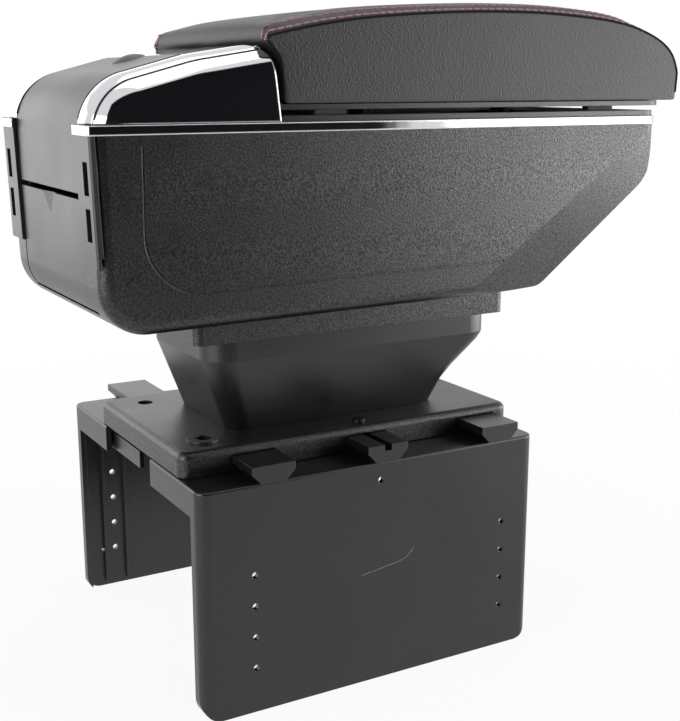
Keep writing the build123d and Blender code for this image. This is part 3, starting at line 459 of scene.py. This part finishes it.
def make_stitching(cushion):
    """Two rows of top-stitching beside each side seam, and the fold of the seam itself, painted dark as the
    seam's shadow.
    """
    stitch_pitch, stitch_length = 4.4 * MM, 4.7 * MM
    stitch_width, stitch_rise, stitch_sides = 1.3 * MM, 0.8 * MM, 6
    row_insets = (0.9 * MM, 4.4 * MM)
    lip_share, foot_share = 0.95, 0.1
    fold_radius, fold_step, fold_sides = 0.6 * MM, 2.5 * MM, 6
    size = Matrix.Diagonal((stitch_length / 2, stitch_width / 2, stitch_rise / 2, 1))
    cover = BVHTree.FromObject(cushion, bpy.context.evaluated_depsgraph_get())
    stitches, folds = bmesh.new(), bmesh.new()
    for side in (-1, 1):
        flip = Vector((1, side, 1))
        for inset in row_insets:
            for place, heading in spaced(seam_route(inset, lip_share), stitch_pitch):
                spot, normal, _, _ = cover.find_nearest(place * flip)
                heading = (heading * flip).normalized()
                across = normal.cross(heading).normalized()
                turn = Matrix((heading, across, normal)).transposed().to_4x4()
                bmesh.ops.create_uvsphere(stitches, u_segments=stitch_sides, v_segments=stitch_sides, radius=1,
                                          matrix=Matrix.Translation(spot) @ turn @ size)
        fold_route = spaced(seam_route(0, foot_share), fold_step)
        fold_places = [(cover.find_nearest(place * flip)[0], heading * flip) for place, heading in fold_route]
        add_tube(folds, fold_places, fold_radius, fold_sides)
    bmesh.ops.recalc_face_normals(stitches, faces=stitches.faces)
    # The seam's fold is painted nearly black, a painted shadow in the seam's groove
    sewing = (("cushion_stitching", stitches, thread), ("cushion_seam_fold_shadow", folds, seam_painted_shadow))
    for name, shape, material in sewing:
        piece = make_object(name, shape, material)
        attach(piece, "cushion")


def make_joint_shadow_cords():
    """Black cords of painted shade in the joints beside the hump's bright strips and down the pillars' outer
    edges.
    """
    cord_radius, cord_sides = 0.3 * MM, 6
    edge_cord_radius, edge_cord_sides = 1.0 * MM, 8
    # Middle of the cord down a pillar's outer edge, X and Z in millimetres, and its distance from the middle
    pillar_edge = ((-132.3, 274.5), (-131.4, 244.5), (-130.4, 218.2))
    pillar_edge_y = 67.7 * MM
    pillar_steps = 12
    # Each joint's Y, the Y of the strip's edge beside it, the cord's depth there and the X where it ends
    joints = ((60.8 * MM, 60.3 * MM, 0.45 * MM, -47 * MM), (48.4 * MM, 49.2 * MM, 0.05 * MM, -85 * MM))
    # The hump's outline is found by rays toward a place inside it, from the rear over the top to the front
    inside_x, inside_z, ray_start = -90 * MM, 277 * MM, 0.2
    first_angle, angle_step = 178, 2
    hump = BVHTree.FromObject(nodes["rear_hump"], bpy.context.evaluated_depsgraph_get())
    cords = bmesh.new()
    for joint_y, edge_y, depth, end_x in joints:
        inside = Vector((inside_x, edge_y, inside_z))
        outline = []
        for degrees in range(first_angle, 0, -angle_step):
            out = Vector((math.cos(math.radians(degrees)), 0, math.sin(math.radians(degrees))))
            spot, normal, _, _ = hump.ray_cast(inside + out * ray_start, -out)
            outline.append(spot - Vector((normal.x, 0, normal.z)).normalized() * depth)
        for side in (1, -1):
            route = [Vector((spot.x, side * joint_y, spot.z)) for spot in outline if spot.x < end_x]
            add_tube(cords, headed(route), cord_radius, cord_sides)
    spots = [curve_through(pillar_edge, i / pillar_steps) for i in range(pillar_steps + 1)]
    for side in (1, -1):
        route = [Vector((x * MM, side * pillar_edge_y, z * MM)) for x, z in spots]
        add_tube(cords, headed(route), edge_cord_radius, edge_cord_sides)
    # Painted shade: the black cords stand in for the shadow in the joints and on the pillars' shaded side walls
    shadow_cord_piece = make_object("joint_shadow_cords", cords, finishes["bumper_rubber"])
    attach(shadow_cord_piece, "console")


def make_scratch(name, node_name, body, marks):
    """Scratch on the near side through places in X and Z millimetres: a thin pale furrow edge."""
    furrow_radius, furrow_sides, steps = 0.13 * MM, 5, 16
    ray_from_y = -0.2
    skin = BVHTree.FromObject(nodes[node_name], bpy.context.evaluated_depsgraph_get())
    route = []
    for i in range(steps + 1):
        x, z = curve_through(marks, i / steps)
        route.append(skin.ray_cast(Vector((x * MM, ray_from_y, z * MM)), Vector((0, 1, 0)))[0])
    shape = bmesh.new()
    add_tube(shape, headed(route), furrow_radius, furrow_sides)
    scratch = make_object(name, shape, scuffs)
    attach(scratch, body)


def seen_share(tree):
    """Socket that is 1 for what the eye sees, straight, mirrored or through a clear piece, and else 0."""
    path = add(tree, "ShaderNodeLightPath")
    mirrored = add(tree, "ShaderNodeMath", {0: path.outputs["Is Glossy Ray"],
                                            1: path.outputs["Is Transmission Ray"]}, operation="MAXIMUM")
    seen = add(tree, "ShaderNodeMath", {0: path.outputs["Is Camera Ray"], 1: mirrored.outputs[0]},
               operation="MAXIMUM")
    return seen.outputs[0]


def make_floor():
    """Pale floor: white to the eye, with a little of its own light and shadow mixed in near the object."""
    floor_half = 4.0
    plain_radius, white_radius = 0.25, 0.8
    near_glow = 0.92
    shape = bmesh.new()
    bmesh.ops.create_grid(shape, x_segments=1, y_segments=1, size=floor_half)
    material, tree = new_material("pale_studio_floor")
    place = add(tree, "ShaderNodeTexCoord").outputs["Object"]
    reach = add(tree, "ShaderNodeVectorMath", {0: place}, operation="LENGTH")
    glow = add(tree, "ShaderNodeMapRange", {"Value": reach.outputs["Value"], "From Min": plain_radius,
                                            "From Max": white_radius, "To Min": near_glow, "To Max": 1.0})
    share = add(tree, "ShaderNodeMath", {0: seen_share(tree), 1: glow.outputs["Result"]}, operation="MULTIPLY")
    matt = add(tree, "ShaderNodeBsdfDiffuse", {"Color": linear("#f0f0f0")})
    white = add(tree, "ShaderNodeEmission", {"Color": (1, 1, 1, 1), "Strength": 1.0})
    shader = add(tree, "ShaderNodeMixShader", {0: share.outputs[0], 1: matt.outputs[0], 2: white.outputs[0]})
    finish_material(tree, shader)
    make_object("studio_floor", shape, material)


def make_dark_card():
    """Dark studio wall behind the camera, which the chrome and the near side mirror."""
    left, right, top, away = -1.05, 0.45, 1.4, -0.75
    shape = bmesh.new()
    bmesh.ops.create_grid(shape, x_segments=1, y_segments=1, size=1)
    bmesh.ops.scale(shape, vec=((right - left) / 2, top / 2, 1), verts=shape.verts)
    bmesh.ops.rotate(shape, matrix=Matrix.Rotation(math.pi / 2, 3, "X"), verts=shape.verts)
    bmesh.ops.translate(shape, vec=((left + right) / 2, away, top / 2), verts=shape.verts)
    material, tree = new_material("dark_studio_wall")
    finish_material(tree, add(tree, "ShaderNodeBsdfDiffuse", {"Color": linear("#1c1c1e")}))
    card = make_object("dark_studio_wall", shape, material)
    card.visible_camera = False


def make_lamp(name, place, aim, size, power):
    """Rectangular soft box that looks at a point."""
    data = bpy.data.lights.new(name, "AREA")
    data.shape = "RECTANGLE"
    data.size, data.size_y = size
    data.energy = power
    lamp = bpy.data.objects.new(name, data)
    lamp.location = place
    lamp.rotation_mode = "QUATERNION"
    lamp.rotation_quaternion = (Vector(aim) - Vector(place)).to_track_quat("-Z", "Y")
    lamp.visible_camera = False
    bpy.context.scene.collection.objects.link(lamp)


def make_world():
    """White surroundings for the eye and for reflections, at a lower level for the light they give."""
    fill = 0.35
    world = bpy.data.worlds.new("white_studio")
    world.use_nodes = True
    tree = world.node_tree
    tree.nodes.clear()
    strength = add(tree, "ShaderNodeMath", {0: seen_share(tree), 1: 1 - fill, 2: fill}, operation="MULTIPLY_ADD")
    background = add(tree, "ShaderNodeBackground", {"Color": (1, 1, 1, 1), "Strength": strength.outputs[0]})
    add(tree, "ShaderNodeOutputWorld", {"Surface": background.outputs[0]})
    bpy.context.scene.world = world


def make_camera():
    """Camera at the photograph's viewing angle, found by fitting the part's straight edges."""
    image_height, focal_pixels = 721, 1185
    yaw, pitch = math.radians(29.74), math.radians(13.22)
    stand = Vector((-288.2, -544.2, 293.3)) * MM
    look = Vector((math.sin(yaw) * math.cos(pitch), math.cos(yaw) * math.cos(pitch), -math.sin(pitch)))
    data = bpy.data.cameras.new("photo_camera")
    data.lens = focal_pixels / image_height * data.sensor_width
    camera = bpy.data.objects.new("photo_camera", data)
    camera.location = stand
    camera.rotation_mode = "QUATERNION"
    camera.rotation_quaternion = look.to_track_quat("-Z", "Y")
    bpy.context.scene.collection.objects.link(camera)
    bpy.context.scene.camera = camera


# Places along the scratches on the near plate and on the box's side, X and Z in millimetres
plate_marks = ((-10.0, 57.4), (3.6, 59.3), (15.9, 61.8), (21.4, 67.4))
box_marks = ((95.5, 242.3), (111.8, 240.6), (128.6, 238.6))
# Soft boxes of the studio: name, place, the point it looks at, width and height, and power in watts
soft_boxes = (
    ("right_soft_box", (1.14, -0.72, 0.42), (0.0, 0.0, 0.22), (1.15, 0.9), 12.5),
    ("rear_soft_box", (-0.75, 1.15, 0.4), (0.0, 0.0, 0.2), (1.0, 0.8), 3.9),
    ("back_soft_box", (0.15, 1.4, 0.65), (0.0, 0.0, 0.25), (1.0, 0.7), 1.1),
    ("left_soft_box", (-1.2, -0.3, 0.35), (0.0, 0.0, 0.2), (1.0, 0.9), 10),
    ("low_soft_box", (0.8, -0.32, 0.08), (0.14, -0.07, 0.23), (0.8, 0.3), 3.4),
    ("top_soft_box", (0.1, 0.1, 1.6), (0.0, 0.0, 0.2), (1.2, 1.2), 5.4),
)

dress_nodes()
make_stitching(make_cushion())
make_joint_shadow_cords()
make_scratch("plate_scratch", "right_side_plate", "right_skirt", plate_marks)
make_scratch("box_scratch", "storage_box", "console", box_marks)
make_floor()
make_dark_card()
make_world()
for soft_box in soft_boxes:
    make_lamp(*soft_box)
make_camera()
bpy.context.scene.view_settings.view_transform = "Standard"
